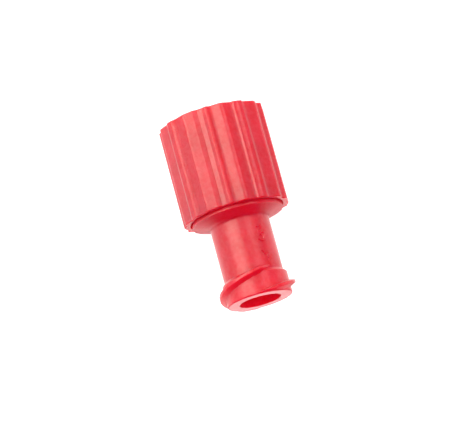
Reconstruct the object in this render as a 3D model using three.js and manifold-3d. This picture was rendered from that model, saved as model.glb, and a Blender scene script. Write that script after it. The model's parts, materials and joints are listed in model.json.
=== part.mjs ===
// Luer-lock combination stopper: a closing cap that screws on to either kind of luer connector.
// One end is a male luer cone inside a ribbed lock collar, the other is a female luer port.
//
// Millimetres, +Z up. The stopper lies on its side: its axis runs along Y, with the collar's
// mouth towards +Y and the female port towards -Y. Z = 0 is the surface it rests on, and the
// origin is under the middle of its length. Inside the group, Y is measured from the plane of
// the rib ends, and an angle is measured about the axis from +Z towards +X.

import * as THREE from "three";
import Module from "manifold-3d";
import { mergeVertices } from "three/addons/utils/BufferGeometryUtils.js";

// ---- Luer sizes: 6 % taper, two thread starts with a 5 mm lead ----

const TAPER = 0.06;
const THREAD_LEAD = 5;
const THREAD_STARTS = 2;
const RIDGE_HALF_CREST = 0.2;

// ---- Lock collar ----

const COLLAR_LENGTH = 10.38;
const RIB_COUNT = 17;
const RIB_CREST_R = 5.5;
const RIB_ROOT_R = 5.26;
const RIB_STEPS = [1, 0.75, 0.4, 0.05, 0.55];
const COLLAR_EDGE = 0.14;
const CHAMBER_R = 4.0;
const CHAMBER_MOUTH_R = 4.2;
const CHAMBER_FLOOR_Y = 2.1;
const LEDGE_UNDERSIDE_Y = 1.0;
const NUT_THREAD_CREST_R = 3.52;
const NUT_THREAD_FROM_Y = 3.9;
const NUT_THREAD_TURN = THREE.MathUtils.degToRad(380);
const NUT_THREAD_FLANKS = { port: 0.3, mouth: 0.3 };

// ---- Stopper body: shoulder disc, stem and female port ----

const SHOULDER_R = 4.72;
const SHOULDER_FRONT_Y = -0.33;
const SHOULDER_BACK_Y = 0.9;
const SHOULDER_EDGE_R = 0.14;
const SHOULDER_FLARE_Y = -0.95;
const STEM_R = 3.05;
const HUB_R = 3.365;
const HUB_STEP_FROM_Y = -6.43;
const HUB_STEP_TO_Y = -6.78;
const PORT_END_Y = -9.2;
const PORT_FACE_R = 3.2;
const PORT_EDGE = 0.14;
const PORT_BORE_R = 2.15;
const PORT_BORE_EDGE = 0.06;
const PORT_BORE_DEPTH = 8;
const LUG_CREST_R = 3.92;
const LUG_START_ANGLE = THREE.MathUtils.degToRad(-32);
const LUG_START_Y = PORT_END_Y - 0.66;
const LUG_TURN = THREE.MathUtils.degToRad(248);
const LUG_FLANKS = { port: 0.42, mouth: 0.2 };
const LUG_PORT_GAP = 0.06;
const NECK_R = 2.9;

// ---- Cone plug: the male luer cone, pressed into the body ----

const CONE_TIP_Y = 9.9;
const CONE_TIP_R = 1.99;
const CONE_TIP_EDGE = 0.2;
const CORE_R = 1.05;
const CORE_DEPTH = 5.4;
const FLANGE_R = 3.45;
const FLANGE_THICKNESS = 0.7;
const FLANGE_EDGE = 0.12;
const SPIGOT_R = 1.5;
const SPIGOT_END_Y = 0;

// ---- Fits ----

const RUNNING_GAP = 0.08;
const END_PLAY = 0.1;
const SEAT_GAP = 0.03;
const EMBED = 0.1;

// ---- Facets ----

const BODY_FACETS = 56;
const PLUG_FACETS = 40;
const THREAD_STEP = THREE.MathUtils.degToRad(10);
const ROUNDING_STEPS = 3;

const FULL_TURN = 2 * Math.PI;
const RIB_FACETS = RIB_COUNT * RIB_STEPS.length;
const AXIS_HEIGHT = RIB_CREST_R * Math.cos(Math.PI / RIB_COUNT);
const MIDDLE_Y = (COLLAR_LENGTH + PORT_END_Y) / 2;

const wasm = await Module();
wasm.setup();

// ---- Solids ----

function toSolid(geometry) {
  geometry.deleteAttribute("normal");
  geometry.deleteAttribute("uv");
  const merged = mergeVertices(geometry, 1e-5);
  const vertProperties = new Float32Array(merged.attributes.position.array);
  const triVerts = new Uint32Array(merged.index.array);
  return new wasm.Manifold(new wasm.Mesh({ numProp: 3, vertProperties, triVerts }));
}

function toGeometry(solid) {
  const mesh = solid.getMesh();
  const geometry = new THREE.BufferGeometry();
  geometry.setAttribute("position", new THREE.BufferAttribute(mesh.vertProperties, 3));
  geometry.setIndex(new THREE.BufferAttribute(mesh.triVerts, 1));
  geometry.computeVertexNormals();
  return geometry;
}

// Points of a quarter round about (r, y), from one direction to another, in degrees.
function round(r, y, radius, from, to) {
  const points = [];
  for (let step = 0; step <= ROUNDING_STEPS; step += 1) {
    const angle = THREE.MathUtils.degToRad(from + ((to - from) * step) / ROUNDING_STEPS);
    points.push([r + radius * Math.cos(angle), y + radius * Math.sin(angle)]);
  }
  return points;
}

function turned(outline, facets) {
  const points = outline.map(([r, y]) => new THREE.Vector2(r, y));
  return new THREE.LatheGeometry(points, facets);
}

// One thread ridge: a trapezoid that stands on baseR and reaches crestR, wound about the axis.
// It rises by the lead in each turn, and sinks into its wall over the first and last steps.
// flanks are the widths of its slopes towards the port and towards the collar's mouth.
function ridge({ baseR, crestR, flanks, turn, startAngle, startY }) {
  const corners = [
    [baseR, -RIDGE_HALF_CREST - flanks.port],
    [crestR, -RIDGE_HALF_CREST],
    [crestR, RIDGE_HALF_CREST],
    [baseR, RIDGE_HALF_CREST + flanks.mouth],
  ];
  const section = new THREE.Shape(corners.map(([r, y]) => new THREE.Vector2(r, y)));
  const steps = Math.round(turn / THREAD_STEP);
  const wound = new THREE.ExtrudeGeometry(section, { depth: turn, steps, bevelEnabled: false });
  const position = wound.attributes.position;
  for (let i = 0; i < position.count; i += 1) {
    const along = turn - position.getZ(i);
    const angle = startAngle + along;
    const fade = Math.min(1, (Math.min(along, turn - along) + THREAD_STEP) / (3 * THREAD_STEP));
    const r = baseR + (position.getX(i) - baseR) * fade;
    const y = startY + position.getY(i) + (THREAD_LEAD * along) / FULL_TURN;
    position.setXYZ(i, r * Math.sin(angle), y, r * Math.cos(angle));
  }
  return toSolid(wound);
}

// ---- Lock collar ----

function collarOutline() {
  const counterboreR = SHOULDER_R + RUNNING_GAP;
  const ledgeR = NECK_R + RUNNING_GAP;
  return [
    [counterboreR, 0],
    [RIB_ROOT_R - COLLAR_EDGE, 0],
    [RIB_ROOT_R, COLLAR_EDGE],
    [RIB_ROOT_R, COLLAR_LENGTH - COLLAR_EDGE],
    [RIB_ROOT_R - COLLAR_EDGE, COLLAR_LENGTH],
    [CHAMBER_MOUTH_R, COLLAR_LENGTH],
    [CHAMBER_R, COLLAR_LENGTH - 2 * (CHAMBER_MOUTH_R - CHAMBER_R)],
    [CHAMBER_R, CHAMBER_FLOOR_Y],
    [ledgeR, CHAMBER_FLOOR_Y],
    [ledgeR, LEDGE_UNDERSIDE_Y],
    [counterboreR, LEDGE_UNDERSIDE_Y],
    [counterboreR, 0],
  ];
}

// The outer wall is pushed out into ribs that run the whole length of the collar.
function raiseRibs(geometry) {
  const position = geometry.attributes.position;
  const wallFrom = RIB_ROOT_R - 1.5 * COLLAR_EDGE;
  for (let i = 0; i < position.count; i += 1) {
    const r = Math.hypot(position.getX(i), position.getZ(i));
    if (r < wallFrom) continue;
    const angle = Math.atan2(position.getX(i), position.getZ(i));
    const facet = Math.round((angle / FULL_TURN) * RIB_FACETS) + RIB_FACETS;
    const rise = (RIB_CREST_R - RIB_ROOT_R) * RIB_STEPS[facet % RIB_STEPS.length];
    const scale = (r + rise) / r;
    position.setX(i, position.getX(i) * scale);
    position.setZ(i, position.getZ(i) * scale);
  }
  return geometry;
}

function lockCollar() {
  let collar = toSolid(raiseRibs(turned(collarOutline(), RIB_FACETS)));
  for (let start = 0; start < THREAD_STARTS; start += 1) {
    const startAngle = (start * FULL_TURN) / THREAD_STARTS;
    collar = collar.add(
      ridge({
        baseR: CHAMBER_R + EMBED,
        crestR: NUT_THREAD_CREST_R,
        flanks: NUT_THREAD_FLANKS,
        turn: NUT_THREAD_TURN,
        startAngle,
        startY: NUT_THREAD_FROM_Y,
      }),
    );
  }
  return toGeometry(collar);
}

// ---- Stopper body ----

function bodyOutline() {
  const boreEndY = PORT_END_Y + PORT_BORE_DEPTH;
  const boreEndR = PORT_BORE_R - (PORT_BORE_DEPTH * TAPER) / 2;
  const neckTopY = CHAMBER_FLOOR_Y + END_PLAY - SEAT_GAP;
  const socketR = SPIGOT_R + SEAT_GAP;
  const socketFloorY = SPIGOT_END_Y - SEAT_GAP;
  const edgeR = SHOULDER_R - SHOULDER_EDGE_R;
  return [
    [0, boreEndY],
    [boreEndR, boreEndY],
    [PORT_BORE_R, PORT_END_Y + PORT_BORE_EDGE],
    [PORT_BORE_R + PORT_BORE_EDGE, PORT_END_Y],
    [PORT_FACE_R, PORT_END_Y],
    [HUB_R, PORT_END_Y + PORT_EDGE],
    [HUB_R, HUB_STEP_TO_Y],
    [STEM_R, HUB_STEP_FROM_Y],
    [STEM_R, SHOULDER_FLARE_Y],
    [edgeR, SHOULDER_FRONT_Y],
    ...round(edgeR, SHOULDER_FRONT_Y + SHOULDER_EDGE_R, SHOULDER_EDGE_R, -90, 0).slice(1),
    [SHOULDER_R, SHOULDER_BACK_Y],
    [NECK_R, SHOULDER_BACK_Y],
    [NECK_R, neckTopY],
    [socketR, neckTopY],
    [socketR, socketFloorY],
    [0, socketFloorY],
  ];
}

// Each lug winds from the port's end face, which cuts its first stretch flat, up to the hub's step.
function portLugs() {
  const keepY = PORT_END_Y + LUG_PORT_GAP;
  const keepLength = HUB_STEP_FROM_Y - keepY;
  const keep = new THREE.CylinderGeometry(RIB_CREST_R, RIB_CREST_R, keepLength, BODY_FACETS);
  keep.translate(0, keepY + keepLength / 2, 0);
  const limits = toSolid(keep);
  const lugs = [];
  for (let start = 0; start < THREAD_STARTS; start += 1) {
    const lug = ridge({
      baseR: HUB_R - EMBED,
      crestR: LUG_CREST_R,
      flanks: LUG_FLANKS,
      turn: LUG_TURN,
      startAngle: LUG_START_ANGLE + (start * FULL_TURN) / THREAD_STARTS,
      startY: LUG_START_Y,
    });
    lugs.push(lug.intersect(limits));
  }
  return lugs;
}

function stopperBody() {
  let body = toSolid(turned(bodyOutline(), BODY_FACETS));
  for (const lug of portLugs()) {
    body = body.add(lug);
  }
  return toGeometry(body);
}

// ---- Cone plug ----

function plugOutline() {
  const flangeY = CHAMBER_FLOOR_Y + END_PLAY;
  const flangeTopY = flangeY + FLANGE_THICKNESS;
  const coneBaseR = CONE_TIP_R + ((CONE_TIP_Y - flangeTopY) * TAPER) / 2;
  const edgeR = CONE_TIP_R - CONE_TIP_EDGE;
  return [
    [0, SPIGOT_END_Y],
    [SPIGOT_R, SPIGOT_END_Y],
    [SPIGOT_R, flangeY],
    [FLANGE_R, flangeY],
    [FLANGE_R, flangeTopY - FLANGE_EDGE],
    [FLANGE_R - FLANGE_EDGE, flangeTopY],
    [coneBaseR, flangeTopY],
    ...round(edgeR, CONE_TIP_Y - CONE_TIP_EDGE, CONE_TIP_EDGE, 0, 90),
    [CORE_R, CONE_TIP_Y],
    [CORE_R * 0.9, CONE_TIP_Y - CORE_DEPTH],
    [0, CONE_TIP_Y - CORE_DEPTH],
  ];
}

function conePlug() {
  return toGeometry(toSolid(turned(plugOutline(), PLUG_FACETS)));
}

// ---- Assembly ----

function piece(name, geometry, finish) {
  const material = new THREE.MeshStandardMaterial({ metalness: 0, ...finish });
  const mesh = new THREE.Mesh(geometry, material);
  mesh.name = name;
  return mesh;
}

const stopper = new THREE.Group();
stopper.position.set(0, -MIDDLE_Y, AXIS_HEIGHT);
stopper.add(
  piece("lock_collar", lockCollar(), { color: 0xd8202e, roughness: 0.42 }),
  piece("stopper_body", stopperBody(), { color: 0xd8202e, roughness: 0.38 }),
  piece("cone_plug", conePlug(), { color: 0xd8202e, roughness: 0.36 }),
);

export default stopper;
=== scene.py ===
"""Luer-lock combination stopper: the finished surfaces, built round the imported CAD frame.

Outlines are in millimetres, in the stopper's own coordinates: y runs along its axis from the
plane of the rib ends, with the collar's mouth at +y and the female port at -y. r is the
distance from the axis, and an angle is measured about it from +Z towards +X.
"""

import json
import math

import bpy
import numpy as np
from mathutils import Matrix, Vector


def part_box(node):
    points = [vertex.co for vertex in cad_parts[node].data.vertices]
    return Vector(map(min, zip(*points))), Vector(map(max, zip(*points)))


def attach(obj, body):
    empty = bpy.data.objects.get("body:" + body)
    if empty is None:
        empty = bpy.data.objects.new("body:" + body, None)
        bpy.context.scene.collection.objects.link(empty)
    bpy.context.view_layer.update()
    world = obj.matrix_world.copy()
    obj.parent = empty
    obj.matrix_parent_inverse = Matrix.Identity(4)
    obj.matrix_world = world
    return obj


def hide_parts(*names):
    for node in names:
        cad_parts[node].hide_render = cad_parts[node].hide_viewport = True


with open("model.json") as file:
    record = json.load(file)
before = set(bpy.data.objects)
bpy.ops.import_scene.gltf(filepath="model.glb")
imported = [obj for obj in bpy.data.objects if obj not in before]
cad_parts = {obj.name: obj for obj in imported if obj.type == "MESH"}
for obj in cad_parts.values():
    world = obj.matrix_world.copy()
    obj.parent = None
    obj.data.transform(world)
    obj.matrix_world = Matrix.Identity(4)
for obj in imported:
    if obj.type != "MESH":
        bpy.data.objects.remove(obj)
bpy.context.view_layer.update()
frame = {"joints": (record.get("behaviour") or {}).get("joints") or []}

MM = 0.001
TURN = 2 * math.pi
ON_LINE = 1e-6
CAP_RING_R = 0.05

# ---- Where the frame has the stopper ----

COLLAR_LOW, COLLAR_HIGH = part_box("lock_collar")
BODY_LOW, BODY_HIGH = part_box("stopper_body")
PLUG_LOW, PLUG_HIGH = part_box("cone_plug")
AXIS_POINT = Vector(frame["joints"][0]["pos_m"])
RIB_PLANE = COLLAR_LOW.y
COLLAR_LENGTH = (COLLAR_HIGH.y - RIB_PLANE) / MM
RIB_CREST_R = 5.5
PORT_END_Y = (BODY_LOW.y - RIB_PLANE) / MM
NECK_TOP_Y = (BODY_HIGH.y - RIB_PLANE) / MM
PLUG_END_Y = (PLUG_LOW.y - RIB_PLANE) / MM
CONE_TIP_Y = (PLUG_HIGH.y - RIB_PLANE) / MM

# ---- Luer sizes ----

TAPER = 0.06
THREAD_LEAD = 5.0
THREAD_STARTS = 2
RIDGE_HALF_CREST = 0.15
RIDGE_END_SINK = 1.3
NO_RIDGE = -1.0

# ---- Lock collar ----

RIB_COUNT = 17
RIB_ROOT_R = 5.25
RIB_END_ROUND = 0.1
RIB_MOUTH_ROUND = 0.12
GRIP_FROM_R = 4.9
GRIP_BLEND = 0.15
CHAMBER_R = 4.0
CHAMBER_MOUTH_R = 4.2
MOUTH_CHAMFER = 0.4
CHAMBER_FLOOR_Y = 2.1
LEDGE_UNDERSIDE_Y = 1.0
LEDGE_R = 2.98
COUNTERBORE_R = 4.8
COUNTERBORE_EDGE = 0.06
COUNTERBORE_EDGE_DEPTH = 0.08
NUT_THREAD_CREST_R = 3.52
NUT_THREAD_FROM_Y = 3.9
NUT_THREAD_TURN = math.radians(380)
NUT_THREAD_FLANK = 0.55
NUT_THREAD_FILLET = 0.08
NUT_THREAD_RUN_OUT = math.radians(25)

# Each form of rib as corners: degrees from its place in the pitch, and the height there, from
# 0 in a valley to 1 on a crest. The wall is flat from each corner to the next.
RIB_FORMS = {
    "A": ((-10.5, 0), (-5, 0.8), (0.5, 0.75), (3.5, 0.3), (7.3, 0)),
    "B": ((-13.2, 0), (-2.5, 0.76), (-0.5, 0.68), (10, 1), (15, 0)),
    "C": ((-5.8, 0), (-0.9, 0.15), (3.2, 1), (5.5, 0.92), (8, 0)),
    "D": ((-11, 0), (-2, 1), (1.5, 1), (10, 0)),
    "E": ((-8.5, 0), (-7, 0.65), (-4, 0.7), (-1, 1), (3, 1), (7.8, 0)),
    "F": ((-11, 0), (0.5, 1), (3, 1), (9.5, 0)),
    "G": ((-9, 0), (-4, 1), (-2.5, 1), (10.5, 0)),
}
RIB_ORDER = "CDEFGBCEGFABCFGAB"

# ---- Stopper body ----

SHOULDER_R = 4.72
SHOULDER_FRONT_Y = -0.36
SHOULDER_BACK_Y = 0.9
SHOULDER_EDGE_R = 0.05
SHOULDER_FLARE_Y = -0.95
STEM_R = 3.05
STEM_FILLET = 0.1
FILLET_MIDDLE_R = STEM_R + 0.03
HUB_R = 3.365
HUB_STEP_FROM_Y = -6.66
HUB_STEP_TO_Y = -7.0
PORT_FACE_R = 3.22
PORT_EDGE_R = 0.14
PORT_BORE_R = 2.15
PORT_BORE_EDGE = 0.06
PORT_BORE_DEPTH = 8.0
PORT_BORE_FLOOR_ROUND = 0.2
LUG_CREST_R = 3.92
LUG_START = math.radians(-32)
LUG_TURN = math.radians(254)
LUG_FROM_Y = -0.71
LUG_BACK_FLANK = 0.26
LUG_PORT_FLANK = 0.55
LUG_PORT_GAP = 0.08
LUG_TO_Y = -6.4
LUG_FILLET = 0.06
LUG_RUN_OUT = math.radians(28)
NECK_R = 2.9
SOCKET_R = 1.53
SOCKET_FLOOR_Y = -0.03

# Small raised strokes moulded on the stem: degrees about the axis, y, and lean in degrees.
STROKES = [
    (40, -2.3, 90),
    (46, -2.45, 15),
    (42, -2.7, 55),
    (47, -2.95, 90),
    (42, -3.2, -40),
    (47, -3.4, 10),
    (37, -3.7, -50),
    (44, -3.8, 80),
    (37, -4.9, -45),
    (41, -5.25, -45),
    (45, -5.35, 70),
    (46, -5.8, 60),
]
STROKE_LENGTH = 0.3
STROKE_HALF_WIDTH = 0.07
STROKE_SLOPE = 0.05
STROKE_HEIGHT = 0.16
STROKES_FROM_Y = -6.1
STROKES_TO_Y = -1.9
STROKES_FROM = math.radians(32)
STROKES_TO = math.radians(54)

# ---- Cone plug ----

CONE_TIP_R = 1.99
CONE_TIP_EDGE_R = 0.2
CORE_R = 1.05
CORE_DEPTH = 5.4
FLANGE_R = 3.45
FLANGE_Y = 2.2
FLANGE_TOP_Y = 2.9
FLANGE_EDGE_R = 0.12
CONE_FILLET = 0.2
CORE_EDGE_R = 0.06
CORE_FLOOR_R = 0.9 * CORE_R
CORE_FLOOR_ROUND = 0.3
SPIGOT_R = 1.5

# ---- Mesh columns round the axis, and rows along the walls that need them close ----

COLLAR_COLUMNS = 36 * RIB_COUNT
BODY_COLUMNS = 360
PLUG_COLUMNS = 128
NUT_THREAD_ROWS = 110
LUG_ROWS = 96
STROKE_ROWS = 140
FLATNESS_WEIGHT = 80

# ---- Plastic ----

DEEP_RED = (0.69, 0.004, 0.024)
LIGHT_RED = (0.79, 0.014, 0.046)
PLASTIC_IOR = 1.58
SCATTER_RADIUS = (1.0, 0.1, 0.11)
SCATTER_SCALE = 0.0022
CLOUD_SCALE = 420.0
CLOUD_DEEP = 0.3
CLOUD_LIGHT = 0.7
PATCH_SCALE = 2400.0
GLOSS_SPREAD = 0.08
SHEEN_PATCHES = (0.35, 0.65)
SHEEN_LEVELS = (0.4, 0.6)
GRAIN_SCALE = 3600.0
GRAIN_DEPTH = 0.00002

# ---- Camera: mm for the lens and the aim, metres for the distance ----

SENSOR_WIDTH = 36.0
LENS = 237.4468
NEAR_CLIP = 0.01
VIEW_DISTANCE = 0.314
VIEW_TILT = math.radians(13.8)
VIEW_SIDE = math.radians(6.68)
VIEW_ROLL = math.radians(15.25)
AIM_Y = 0.066
AIM_ACROSS = -0.2

# ---- Soft boxes: degrees round the axis from the camera's side, lean over the collar in degrees,
# distance, width and length in metres, radiance, colour ----

KEY_STRIP = (-31.5, 21, 0.3, 0.25, 0.08, 8.0, (1.0, 0.98, 0.8))
KICK_STRIP = (36, 21, 0.3, 0.14, 0.08, 4.1, (1.0, 0.98, 0.9))
FRONT_FILL = (0, -20, 0.3, 0.3, 0.3, 3.0, (1.0, 1.0, 1.0))
PORT_CARD = (180, -21, 0.063, 0.02, 0.014, 2.0, (1.0, 1.0, 1.0))

# ---- Floor ----

FLOOR_HALF_WIDTH = 0.6
FLOOR_COLOUR = (0.4, 0.4, 0.4, 1.0)
FLOOR_ROUGHNESS = 0.9
FLOOR_GLOW = (1.0, 1.0, 1.0, 1.0)
FLOOR_GLOW_STRENGTH = 1.0

# ---- Surroundings: levels of light by direction, as (part of that axis, level) stops ----

TOP_LEVEL = 2.0
WORLD_COLOUR = (1.0, 0.99, 0.95, 1.0)
WORLD_ACROSS = [(-0.95, 2.0), (-0.6, 1.5), (0.2, 1.2), (0.7, 0.82)]
WORLD_ACROSS_BELOW = [(-0.7, 1.75), (0.7, 1.5)]
WORLD_OVERHEAD = [(0.05, 0.02), (0.25, 1.0), (0.5, 1.0), (0.9, 0.3)]
WORLD_UNDERNEATH = [
    (-0.7, 0.02),
    (-0.63, 0.3),
    (-0.36, 0.5),
    (-0.27, 1.2),
    (-0.21, 0.8),
    (-0.12, 0.15),
    (0.0, 0.3),
    (0.1, 1.0),
]
WORLD_BESIDE = [(-0.5, 0.8), (-0.36, 0.0)]
WORLD_IN_FRONT = [(-0.4, 1.0), (-0.2, 0.0)]
WORLD_RISE = [(-0.15, 0.0), (0.05, 1.0)]


# ---- Outlines ----


def line(start, end, steps=1):
    """Points from start up to, but not including, end."""
    return [
        (
            start[0] + (end[0] - start[0]) * step / steps,
            start[1] + (end[1] - start[1]) * step / steps,
        )
        for step in range(steps)
    ]


def arc(r, y, radius, start, end, steps=8):
    """Points of an arc about (r, y), from one direction to another, in degrees."""
    angles = [math.radians(start + (end - start) * step / steps) for step in range(steps + 1)]
    return [(r + radius * math.cos(a), y + radius * math.sin(a)) for a in angles]


def smooth_step(value):
    """A smooth rise from 0 to 1 as value goes from 0 to 1."""
    clipped = np.clip(value, 0.0, 1.0)
    return clipped * clipped * (3.0 - 2.0 * clipped)


def smooth_max(a, b, width):
    """The larger of two values, with the corner between them rounded over width."""
    mix = np.clip(0.5 + 0.5 * (a - b) / width, 0.0, 1.0)
    return b + (a - b) * mix + width * mix * (1.0 - mix) * 0.5


def even_angles(columns):
    return np.arange(columns) * (TURN / columns)


def turned_mesh(name, outline, angle, shape=None):
    """A closed mesh turned about the axis, in place in the frame.

    The outline runs anticlockwise with the axis on its left, and either closes on itself or
    starts and ends on the axis. angle holds the columns' angles about the axis. shape takes
    (r, y, angle) arrays and returns the new r.
    """
    rows = np.array(outline, float)
    columns = len(angle)
    r = np.repeat(rows[:, :1], columns, axis=1)
    y = np.repeat(rows[:, 1:], columns, axis=1)
    if shape is not None:
        r = shape(r, y, np.repeat(angle[None, :], len(rows), axis=0))
    capped = rows[0, 0] == 0.0
    ring_rows = range(1, len(rows) - 1) if capped else range(len(rows))
    points = [
        np.stack([r[i] * np.sin(angle), y[i], r[i] * np.cos(angle)], axis=1) for i in ring_rows
    ]
    vertices = np.concatenate(points)
    across = np.arange(columns)
    beside = (across + 1) % columns
    count = len(points)
    faces = []
    for i in range(count if not capped else count - 1):
        low = i * columns
        high = ((i + 1) % count) * columns
        quads = np.stack([low + across, low + beside, high + beside, high + across], axis=1)
        faces += quads.tolist()
    if capped:
        first, last = len(vertices), len(vertices) + 1
        ends = [[0.0, rows[0, 1], 0.0], [0.0, rows[-1, 1], 0.0]]
        vertices = np.concatenate([vertices, ends])
        top = (count - 1) * columns
        faces += [[first, int(b), int(a)] for a, b in zip(across, beside)]
        faces += [[last, top + int(a), top + int(b)] for a, b in zip(across, beside)]
    vertices = vertices * MM + np.array([0.0, RIB_PLANE, AXIS_POINT.z])
    mesh = bpy.data.meshes.new(name)
    mesh.from_pydata(vertices.tolist(), [], faces)
    mesh.shade_smooth()
    piece = bpy.data.objects.new(name, mesh)
    bpy.context.scene.collection.objects.link(piece)
    keep_flats = piece.modifiers.new("keep_flats", "WEIGHTED_NORMAL")
    keep_flats.mode = "FACE_AREA"
    keep_flats.weight = FLATNESS_WEIGHT
    return piece


# ---- Thread ridges ----


def ridge_height(y, angle, start_angle, start_y, turn, crest, flanks, fade):
    """How far a helical ridge stands out at (y, angle): crest on top, falling down its flanks.

    The ridge starts at (start_angle, start_y) and winds through turn, and each end sinks into
    the wall over the angle fade. flanks are the run per rise of its -y and of its +y flank.
    """
    along = np.mod(angle - start_angle, TURN)
    height = np.full_like(y, NO_RIDGE)
    laps = int(turn // TURN) + 1
    for lap in range(laps):
        wound = along + lap * TURN
        off_centre = y - start_y - THREAD_LEAD * wound / TURN
        slope = np.where(off_centre < 0.0, flanks[0], flanks[1])
        flank = crest - np.maximum(np.abs(off_centre) - RIDGE_HALF_CREST, 0.0) / slope
        to_end = np.minimum(wound, turn - wound)
        sink = crest * (1.0 - smooth_step(to_end / fade)) * RIDGE_END_SINK
        height = np.maximum(height, np.where(to_end >= 0.0, flank - sink, NO_RIDGE))
    return height


# ---- Lock collar ----


def ribbed_wall(angle):
    """The radius of the collar's outer wall at each angle round it."""
    corners = []
    radii = []
    for number in range(-1, RIB_COUNT + 1):
        for corner, height in RIB_FORMS[RIB_ORDER[number % RIB_COUNT]]:
            corners.append(number * TURN / RIB_COUNT + math.radians(corner))
            radii.append(RIB_ROOT_R + (RIB_CREST_R - RIB_ROOT_R) * height)
    corners = np.array(corners)
    radii = np.array(radii)
    place = np.mod(angle, TURN)
    after = np.searchsorted(corners, place, side="right")
    gone = place - corners[after - 1]
    left = corners[after] - place
    ends = radii[after - 1] * radii[after] * np.sin(gone + left)
    return ends / (radii[after - 1] * np.sin(gone) + radii[after] * np.sin(left))


def collar_outline():
    edge = RIB_END_ROUND
    mouth_edge = RIB_MOUTH_ROUND
    outer = RIB_ROOT_R - edge
    edge_r = COUNTERBORE_R + COUNTERBORE_EDGE
    edge_y = COUNTERBORE_EDGE_DEPTH
    chamfer_y = COLLAR_LENGTH - MOUTH_CHAMFER
    return [
        *line((COUNTERBORE_R, edge_y), (edge_r, 0.0)),
        *line((edge_r, 0.0), (outer, 0.0), 6),
        *arc(outer, edge, edge, -90, 0),
        *arc(RIB_ROOT_R - mouth_edge, COLLAR_LENGTH - mouth_edge, mouth_edge, 0, 90),
        *line((outer - 0.04, COLLAR_LENGTH), (CHAMBER_MOUTH_R, COLLAR_LENGTH), 8),
        *line((CHAMBER_MOUTH_R, COLLAR_LENGTH), (CHAMBER_R, chamfer_y), 3),
        *line((CHAMBER_R, chamfer_y), (CHAMBER_R, CHAMBER_FLOOR_Y), NUT_THREAD_ROWS),
        *line((CHAMBER_R, CHAMBER_FLOOR_Y), (LEDGE_R, CHAMBER_FLOOR_Y), 2),
        *line((LEDGE_R, CHAMBER_FLOOR_Y), (LEDGE_R, LEDGE_UNDERSIDE_Y), 2),
        *line((LEDGE_R, LEDGE_UNDERSIDE_Y), (COUNTERBORE_R, LEDGE_UNDERSIDE_Y), 2),
        *line((COUNTERBORE_R, LEDGE_UNDERSIDE_Y), (COUNTERBORE_R, edge_y), 2),
    ]


def collar_shape(r, y, angle):
    """The ribs on the collar's outer wall, and the nut's thread on the wall of its chamber."""
    grip = np.clip((r - GRIP_FROM_R) / GRIP_BLEND, 0.0, 1.0)
    raised = r + grip * (ribbed_wall(angle) - RIB_ROOT_R)
    on_wall = np.abs(r - CHAMBER_R) < ON_LINE
    crest = CHAMBER_R - NUT_THREAD_CREST_R
    height = np.zeros_like(r)
    for start in range(THREAD_STARTS):
        ridge = ridge_height(
            y,
            angle,
            start * TURN / THREAD_STARTS,
            NUT_THREAD_FROM_Y,
            NUT_THREAD_TURN,
            crest,
            (NUT_THREAD_FLANK, NUT_THREAD_FLANK),
            NUT_THREAD_RUN_OUT,
        )
        height = smooth_max(height, ridge, NUT_THREAD_FILLET)
    return np.where(on_wall, raised - np.minimum(height, crest), raised)


# ---- Stopper body ----


def body_outline():
    bore_end_y = PORT_END_Y + PORT_BORE_DEPTH
    bore_end_r = PORT_BORE_R - PORT_BORE_DEPTH * TAPER / 2
    floor_round = PORT_BORE_FLOOR_ROUND
    floor_r = bore_end_r - floor_round
    hub_edge_y = PORT_END_Y + PORT_EDGE_R
    edge_y = SHOULDER_FRONT_Y + SHOULDER_EDGE_R
    mouth_y = PORT_END_Y + PORT_BORE_EDGE
    return [
        (0.0, bore_end_y),
        *line((CAP_RING_R, bore_end_y), (floor_r, bore_end_y), 6),
        *reversed(arc(floor_r, bore_end_y - floor_round, floor_round, 0, 90)),
        *line((bore_end_r, bore_end_y - 0.25), (PORT_BORE_R, mouth_y), 12),
        *arc(PORT_BORE_R + PORT_BORE_EDGE, mouth_y, PORT_BORE_EDGE, 180, 270, 5),
        *line((PORT_BORE_R + 0.12, PORT_END_Y), (PORT_FACE_R, PORT_END_Y), 6),
        *arc(HUB_R - PORT_EDGE_R, hub_edge_y, PORT_EDGE_R, -90, 0),
        *line((HUB_R, hub_edge_y + 0.01), (HUB_R, HUB_STEP_TO_Y), LUG_ROWS),
        *line((HUB_R, HUB_STEP_TO_Y), (STEM_R, HUB_STEP_FROM_Y), 8),
        *line((STEM_R, HUB_STEP_FROM_Y), (STEM_R, STROKES_FROM_Y), 14),
        *line((STEM_R, STROKES_FROM_Y), (STEM_R, STROKES_TO_Y), STROKE_ROWS),
        *line((STEM_R, STROKES_TO_Y), (STEM_R, SHOULDER_FLARE_Y - STEM_FILLET), 10),
        *line((STEM_R, SHOULDER_FLARE_Y - STEM_FILLET), (FILLET_MIDDLE_R, SHOULDER_FLARE_Y), 2),
        *line(
            (STEM_R + 0.1, SHOULDER_FLARE_Y + 0.06),
            (SHOULDER_R - SHOULDER_EDGE_R, SHOULDER_FRONT_Y),
            8,
        ),
        *arc(SHOULDER_R - SHOULDER_EDGE_R, edge_y, SHOULDER_EDGE_R, -90, 0),
        *line((SHOULDER_R, edge_y + 0.02), (SHOULDER_R, SHOULDER_BACK_Y), 3),
        *line((SHOULDER_R, SHOULDER_BACK_Y), (NECK_R, SHOULDER_BACK_Y), 3),
        *line((NECK_R, SHOULDER_BACK_Y), (NECK_R, NECK_TOP_Y), 3),
        *line((NECK_R, NECK_TOP_Y), (SOCKET_R, NECK_TOP_Y), 3),
        *line((SOCKET_R, NECK_TOP_Y), (SOCKET_R, SOCKET_FLOOR_Y), 3),
        (SOCKET_R, SOCKET_FLOOR_Y),
        (0.0, SOCKET_FLOOR_Y),
    ]


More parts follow.
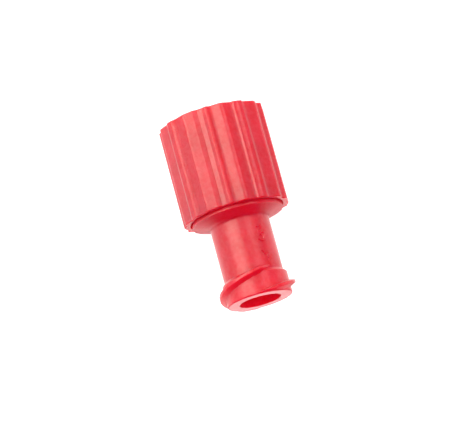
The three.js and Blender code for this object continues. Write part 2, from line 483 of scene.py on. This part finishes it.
def stroke_rise(y, angle):
    """How far the small strokes stand out from the stem at (y, angle)."""
    rise = np.zeros_like(y)
    for degrees, middle_y, lean in STROKES:
        tilt = math.radians(lean)
        around = STEM_R * (angle - math.radians(degrees))
        along = around * math.sin(tilt) + (y - middle_y) * math.cos(tilt)
        aside = around * math.cos(tilt) - (y - middle_y) * math.sin(tilt)
        beyond = np.maximum(np.abs(along) - STROKE_LENGTH / 2, 0.0)
        inside = STROKE_HALF_WIDTH - np.hypot(beyond, aside)
        rise = np.maximum(rise, smooth_step(inside / STROKE_SLOPE))
    return STROKE_HEIGHT * rise


def body_angles():
    """Angles of the body's columns, closer together where the strokes are."""
    coarse = even_angles(BODY_COLUMNS)
    fine = np.arange(STROKES_FROM, STROKES_TO, TURN / BODY_COLUMNS / 2)
    plain = coarse[(coarse < STROKES_FROM - ON_LINE) | (coarse > fine[-1] + ON_LINE)]
    return np.sort(np.concatenate([plain, fine]))


def body_shape(r, y, angle):
    """The two lugs, which grow out of the hub with a fillet, and the strokes on the stem."""
    crest = LUG_CREST_R - HUB_R
    outside = (r > STEM_R - ON_LINE) & (y < LUG_TO_Y) & (y > PORT_END_Y + LUG_PORT_GAP)
    lugs = np.full_like(r, NO_RIDGE)
    for start in range(THREAD_STARTS):
        lug = ridge_height(
            y,
            angle,
            LUG_START + start * TURN / THREAD_STARTS,
            PORT_END_Y + LUG_FROM_Y,
            LUG_TURN,
            crest,
            (LUG_PORT_FLANK, LUG_BACK_FLANK),
            LUG_RUN_OUT,
        )
        lugs = np.maximum(lugs, lug)
    end_flank = (LUG_TO_Y - y) / LUG_BACK_FLANK - (HUB_R - STEM_R)
    with_lugs = smooth_max(r, HUB_R + np.minimum(lugs, end_flank), LUG_FILLET)
    on_stem = np.abs(r - STEM_R) < ON_LINE
    with_strokes = np.where(on_stem, r + stroke_rise(y, angle), r)
    return np.where(outside, np.minimum(with_lugs, LUG_CREST_R), with_strokes)


# ---- Cone plug ----


def plug_outline():
    cone_base_r = CONE_TIP_R + (CONE_TIP_Y - FLANGE_TOP_Y) * TAPER / 2
    edge = CONE_TIP_EDGE_R
    flange_edge = FLANGE_EDGE_R
    fillet = CONE_FILLET
    core_edge = CORE_EDGE_R
    core_end_y = CONE_TIP_Y - CORE_DEPTH
    core_round = CORE_FLOOR_ROUND
    return [
        (0.0, PLUG_END_Y),
        *line((CAP_RING_R, PLUG_END_Y), (SPIGOT_R, PLUG_END_Y), 3),
        *line((SPIGOT_R, PLUG_END_Y), (SPIGOT_R, FLANGE_Y), 3),
        *line((SPIGOT_R, FLANGE_Y), (FLANGE_R, FLANGE_Y), 3),
        *line((FLANGE_R, FLANGE_Y), (FLANGE_R, FLANGE_TOP_Y - flange_edge), 2),
        *arc(FLANGE_R - flange_edge, FLANGE_TOP_Y - flange_edge, flange_edge, 0, 90),
        *line((FLANGE_R - 0.15, FLANGE_TOP_Y), (cone_base_r + 0.25, FLANGE_TOP_Y), 3),
        *reversed(arc(cone_base_r + fillet, FLANGE_TOP_Y + fillet, fillet, 180, 270)),
        *line((cone_base_r, FLANGE_TOP_Y + 0.3), (CONE_TIP_R, CONE_TIP_Y - edge), 8),
        *arc(CONE_TIP_R - edge, CONE_TIP_Y - edge, edge, 0, 90),
        *line((CONE_TIP_R - edge - 0.04, CONE_TIP_Y), (CORE_R + 0.08, CONE_TIP_Y), 3),
        *reversed(arc(CORE_R + core_edge, CONE_TIP_Y - core_edge, core_edge, 90, 180, 5)),
        *line((CORE_R, CONE_TIP_Y - 0.1), (CORE_FLOOR_R, core_end_y + core_round), 6),
        *arc(CORE_FLOOR_R - core_round, core_end_y + core_round, core_round, 0, -90),
        (CAP_RING_R, core_end_y),
        (0.0, core_end_y),
    ]


# ---- Moulded plastic ----


def add_node(tree, kind, **values):
    """A new node, with its sockets and settings given by name."""
    node = tree.nodes.new(kind)
    for key, value in values.items():
        if key in node.inputs:
            node.inputs[key].default_value = value
        else:
            setattr(node, key, value)
    return node


def add_range(tree, source, from_levels, to_levels):
    """source taken from one range of levels to another."""
    spread = add_node(tree, "ShaderNodeMapRange")
    spread.inputs["From Min"].default_value, spread.inputs["From Max"].default_value = from_levels
    spread.inputs["To Min"].default_value, spread.inputs["To Max"].default_value = to_levels
    tree.links.new(source, spread.inputs["Value"])
    return spread.outputs["Result"]


def moulded_plastic(name, roughness, grain):
    """Satin red plastic: faint cloudy colour, uneven gloss, and a fine spark-eroded grain."""
    material = bpy.data.materials.new(name)
    material.use_nodes = True
    tree = material.node_tree
    shader = tree.nodes["Principled BSDF"]
    shader.inputs["IOR"].default_value = PLASTIC_IOR
    shader.inputs["Subsurface Weight"].default_value = 1.0
    shader.inputs["Subsurface Radius"].default_value = SCATTER_RADIUS
    shader.inputs["Subsurface Scale"].default_value = SCATTER_SCALE
    place = add_node(tree, "ShaderNodeTexCoord")

    clouds = add_node(tree, "ShaderNodeTexNoise", Scale=CLOUD_SCALE, Detail=6.0)
    colours = add_node(tree, "ShaderNodeValToRGB")
    deep, light = colours.color_ramp.elements
    deep.position = CLOUD_DEEP
    deep.color = (*DEEP_RED, 1.0)
    light.position = CLOUD_LIGHT
    light.color = (*LIGHT_RED, 1.0)
    tree.links.new(place.outputs["Object"], clouds.inputs["Vector"])
    tree.links.new(clouds.outputs["Fac"], colours.inputs["Fac"])
    tree.links.new(colours.outputs["Color"], shader.inputs["Base Color"])

    patches = add_node(tree, "ShaderNodeTexNoise", Scale=PATCH_SCALE, Detail=4.0)
    tree.links.new(place.outputs["Object"], patches.inputs["Vector"])
    gloss_levels = (roughness - GLOSS_SPREAD, roughness + GLOSS_SPREAD)
    gloss = add_range(tree, patches.outputs["Fac"], (0.0, 1.0), gloss_levels)
    sheen = add_range(tree, patches.outputs["Fac"], SHEEN_PATCHES, SHEEN_LEVELS)
    tree.links.new(gloss, shader.inputs["Roughness"])
    tree.links.new(sheen, shader.inputs["Specular IOR Level"])

    fine = add_node(tree, "ShaderNodeTexNoise", Scale=GRAIN_SCALE, Detail=2.0)
    bump = add_node(tree, "ShaderNodeBump", Strength=grain, Distance=GRAIN_DEPTH)
    tree.links.new(place.outputs["Object"], fine.inputs["Vector"])
    tree.links.new(fine.outputs["Fac"], bump.inputs["Height"])
    tree.links.new(bump.outputs["Normal"], shader.inputs["Normal"])
    return material


# ---- Pieces ----


def dress(piece, material, body, node):
    """Give a piece its material and its body, and hide the CAD node that it replaces."""
    piece.data.materials.append(material)
    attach(piece, body)
    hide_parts(node)


def make_pieces():
    collar_angles = even_angles(COLLAR_COLUMNS)
    collar = turned_mesh("ribbed_collar", collar_outline(), collar_angles, collar_shape)
    body = turned_mesh("stem_and_port", body_outline(), body_angles(), body_shape)
    plug = turned_mesh("luer_cone", plug_outline(), even_angles(PLUG_COLUMNS))
    dress(
        collar,
        moulded_plastic("collar_red", roughness=0.34, grain=1.0),
        "collar",
        "lock_collar",
    )
    dress(
        body,
        moulded_plastic("body_red", roughness=0.32, grain=0.7),
        "body",
        "stopper_body",
    )
    dress(
        plug,
        moulded_plastic("cone_red", roughness=0.28, grain=0.1),
        "body",
        "cone_plug",
    )


# ---- Studio ----


def view_directions():
    """The view's right, up and towards-the-camera directions, and across the stopper."""
    to_port = Vector((0.0, -1.0, 0.0))
    near_side = Vector((math.sin(VIEW_SIDE), 0.0, math.cos(VIEW_SIDE)))
    across = Vector((math.cos(VIEW_SIDE), 0.0, -math.sin(VIEW_SIDE)))
    towards = math.sin(VIEW_TILT) * to_port + math.cos(VIEW_TILT) * near_side
    down_axis = math.cos(VIEW_TILT) * to_port - math.sin(VIEW_TILT) * near_side
    right = math.cos(VIEW_ROLL) * across + math.sin(VIEW_ROLL) * down_axis
    up = math.sin(VIEW_ROLL) * across - math.cos(VIEW_ROLL) * down_axis
    return right, up, towards, across


def facing(position, right, up, towards):
    """A world matrix at position with those three axes as its X, Y and Z."""
    axes = Matrix((right, up, towards)).transposed().to_4x4()
    axes.translation = position
    return axes


def add_camera():
    right, up, towards, across = view_directions()
    aim = Vector((0.0, RIB_PLANE + AIM_Y * MM, AXIS_POINT.z)) + across * AIM_ACROSS * MM
    data = bpy.data.cameras.new("camera")
    data.sensor_width = SENSOR_WIDTH
    data.lens = LENS
    data.clip_start = NEAR_CLIP
    camera = bpy.data.objects.new("camera", data)
    bpy.context.scene.collection.objects.link(camera)
    camera.matrix_world = facing(aim + towards * VIEW_DISTANCE, right, up, towards)
    bpy.context.scene.camera = camera


def add_soft_box(name, turn, lean, distance, width, length, radiance, colour):
    """A soft box aimed at the stopper, its width across the axis and its length along it.

    It stands turn degrees round that axis from the camera's side, leaning over the collar.
    """
    side = VIEW_SIDE + math.radians(turn)
    rise = Vector((math.sin(side), 0.0, math.cos(side)))
    tilt = math.radians(lean)
    out = rise * math.cos(tilt) + Vector((0.0, 1.0, 0.0)) * math.sin(tilt)
    along = Vector((0.0, 1.0, 0.0)) * math.cos(tilt) - rise * math.sin(tilt)
    data = bpy.data.lights.new(name, "AREA")
    data.shape = "RECTANGLE"
    data.size = width
    data.size_y = length
    data.energy = radiance * math.pi * width * length
    data.color = colour
    light = bpy.data.objects.new(name, data)
    bpy.context.scene.collection.objects.link(light)
    light.matrix_world = facing(AXIS_POINT + out * distance, along.cross(out), along, out)
    return light


def add_floor():
    """A plain pale floor that glows enough to show white, with no shadow on it."""
    half = FLOOR_HALF_WIDTH
    corners = [(-half, -half, 0.0), (half, -half, 0.0), (half, half, 0.0), (-half, half, 0.0)]
    mesh = bpy.data.meshes.new("floor")
    mesh.from_pydata(corners, [], [(0, 1, 2, 3)])
    floor = bpy.data.objects.new("floor", mesh)
    bpy.context.scene.collection.objects.link(floor)
    material = bpy.data.materials.new("pale_floor")
    material.use_nodes = True
    shader = material.node_tree.nodes["Principled BSDF"]
    shader.inputs["Base Color"].default_value = FLOOR_COLOUR
    shader.inputs["Roughness"].default_value = FLOOR_ROUGHNESS
    shader.inputs["Emission Color"].default_value = FLOOR_GLOW
    shader.inputs["Emission Strength"].default_value = FLOOR_GLOW_STRENGTH
    mesh.materials.append(material)
    floor.visible_glossy = False


def level_through(tree, source, stops):
    """A level that follows (source, level) stops in straight lines, for a source from -1 to 1."""
    spread = add_range(tree, source, (-1.0, 1.0), (0.0, 1.0))
    ramp = add_node(tree, "ShaderNodeValToRGB")
    elements = ramp.color_ramp.elements
    for number, (place, level) in enumerate(stops):
        position = (place + 1) / 2
        if number == 0:
            element = elements[0]
        elif number == len(stops) - 1:
            element = elements[-1]
        else:
            element = elements.new(position)
        element.position = position
        element.color = (level / TOP_LEVEL, level / TOP_LEVEL, level / TOP_LEVEL, 1.0)
    tree.links.new(spread, ramp.inputs["Fac"])
    return combined(tree, "MULTIPLY", ramp.outputs["Color"], TOP_LEVEL)


def combined(tree, operation, *values):
    """The result of a maths node on values that are numbers or other nodes' outputs."""
    node = add_node(tree, "ShaderNodeMath", operation=operation)
    for slot, value in zip(node.inputs, values):
        if isinstance(value, float):
            slot.default_value = value
        else:
            tree.links.new(value, slot)
    return node.outputs["Value"]


def light_world():
    """Soft surroundings, whose level follows the direction across, along and above the axis."""
    world = bpy.data.worlds.new("studio")
    bpy.context.scene.world = world
    world.use_nodes = True
    tree = world.node_tree
    background = tree.nodes["Background"]
    background.inputs["Color"].default_value = WORLD_COLOUR
    place = add_node(tree, "ShaderNodeTexCoord")
    split = add_node(tree, "ShaderNodeSeparateXYZ")
    tree.links.new(place.outputs["Generated"], split.inputs["Vector"])
    x, y, z = (split.outputs[axis] for axis in "XYZ")
    overhead = combined(
        tree,
        "MULTIPLY",
        level_through(tree, x, WORLD_ACROSS),
        level_through(tree, y, WORLD_OVERHEAD),
    )
    beside = combined(
        tree,
        "MULTIPLY",
        level_through(tree, x, WORLD_BESIDE),
        level_through(tree, y, WORLD_IN_FRONT),
    )
    underneath = combined(
        tree,
        "MULTIPLY",
        level_through(tree, x, WORLD_ACROSS_BELOW),
        combined(tree, "ADD", level_through(tree, y, WORLD_UNDERNEATH), beside),
    )
    height = add_node(tree, "ShaderNodeMix")
    tree.links.new(level_through(tree, z, WORLD_RISE), height.inputs["Factor"])
    tree.links.new(underneath, height.inputs["A"])
    tree.links.new(overhead, height.inputs["B"])
    tree.links.new(height.outputs["Result"], background.inputs["Strength"])


make_pieces()
add_camera()
add_floor()
light_world()
add_soft_box("key_strip", *KEY_STRIP).visible_diffuse = False
add_soft_box("kick_strip", *KICK_STRIP).visible_diffuse = False
add_soft_box("front_fill", *FRONT_FILL).visible_glossy = False
add_soft_box("port_card", *PORT_CARD).visible_diffuse = False
bpy.context.scene.view_settings.view_transform = "Standard"
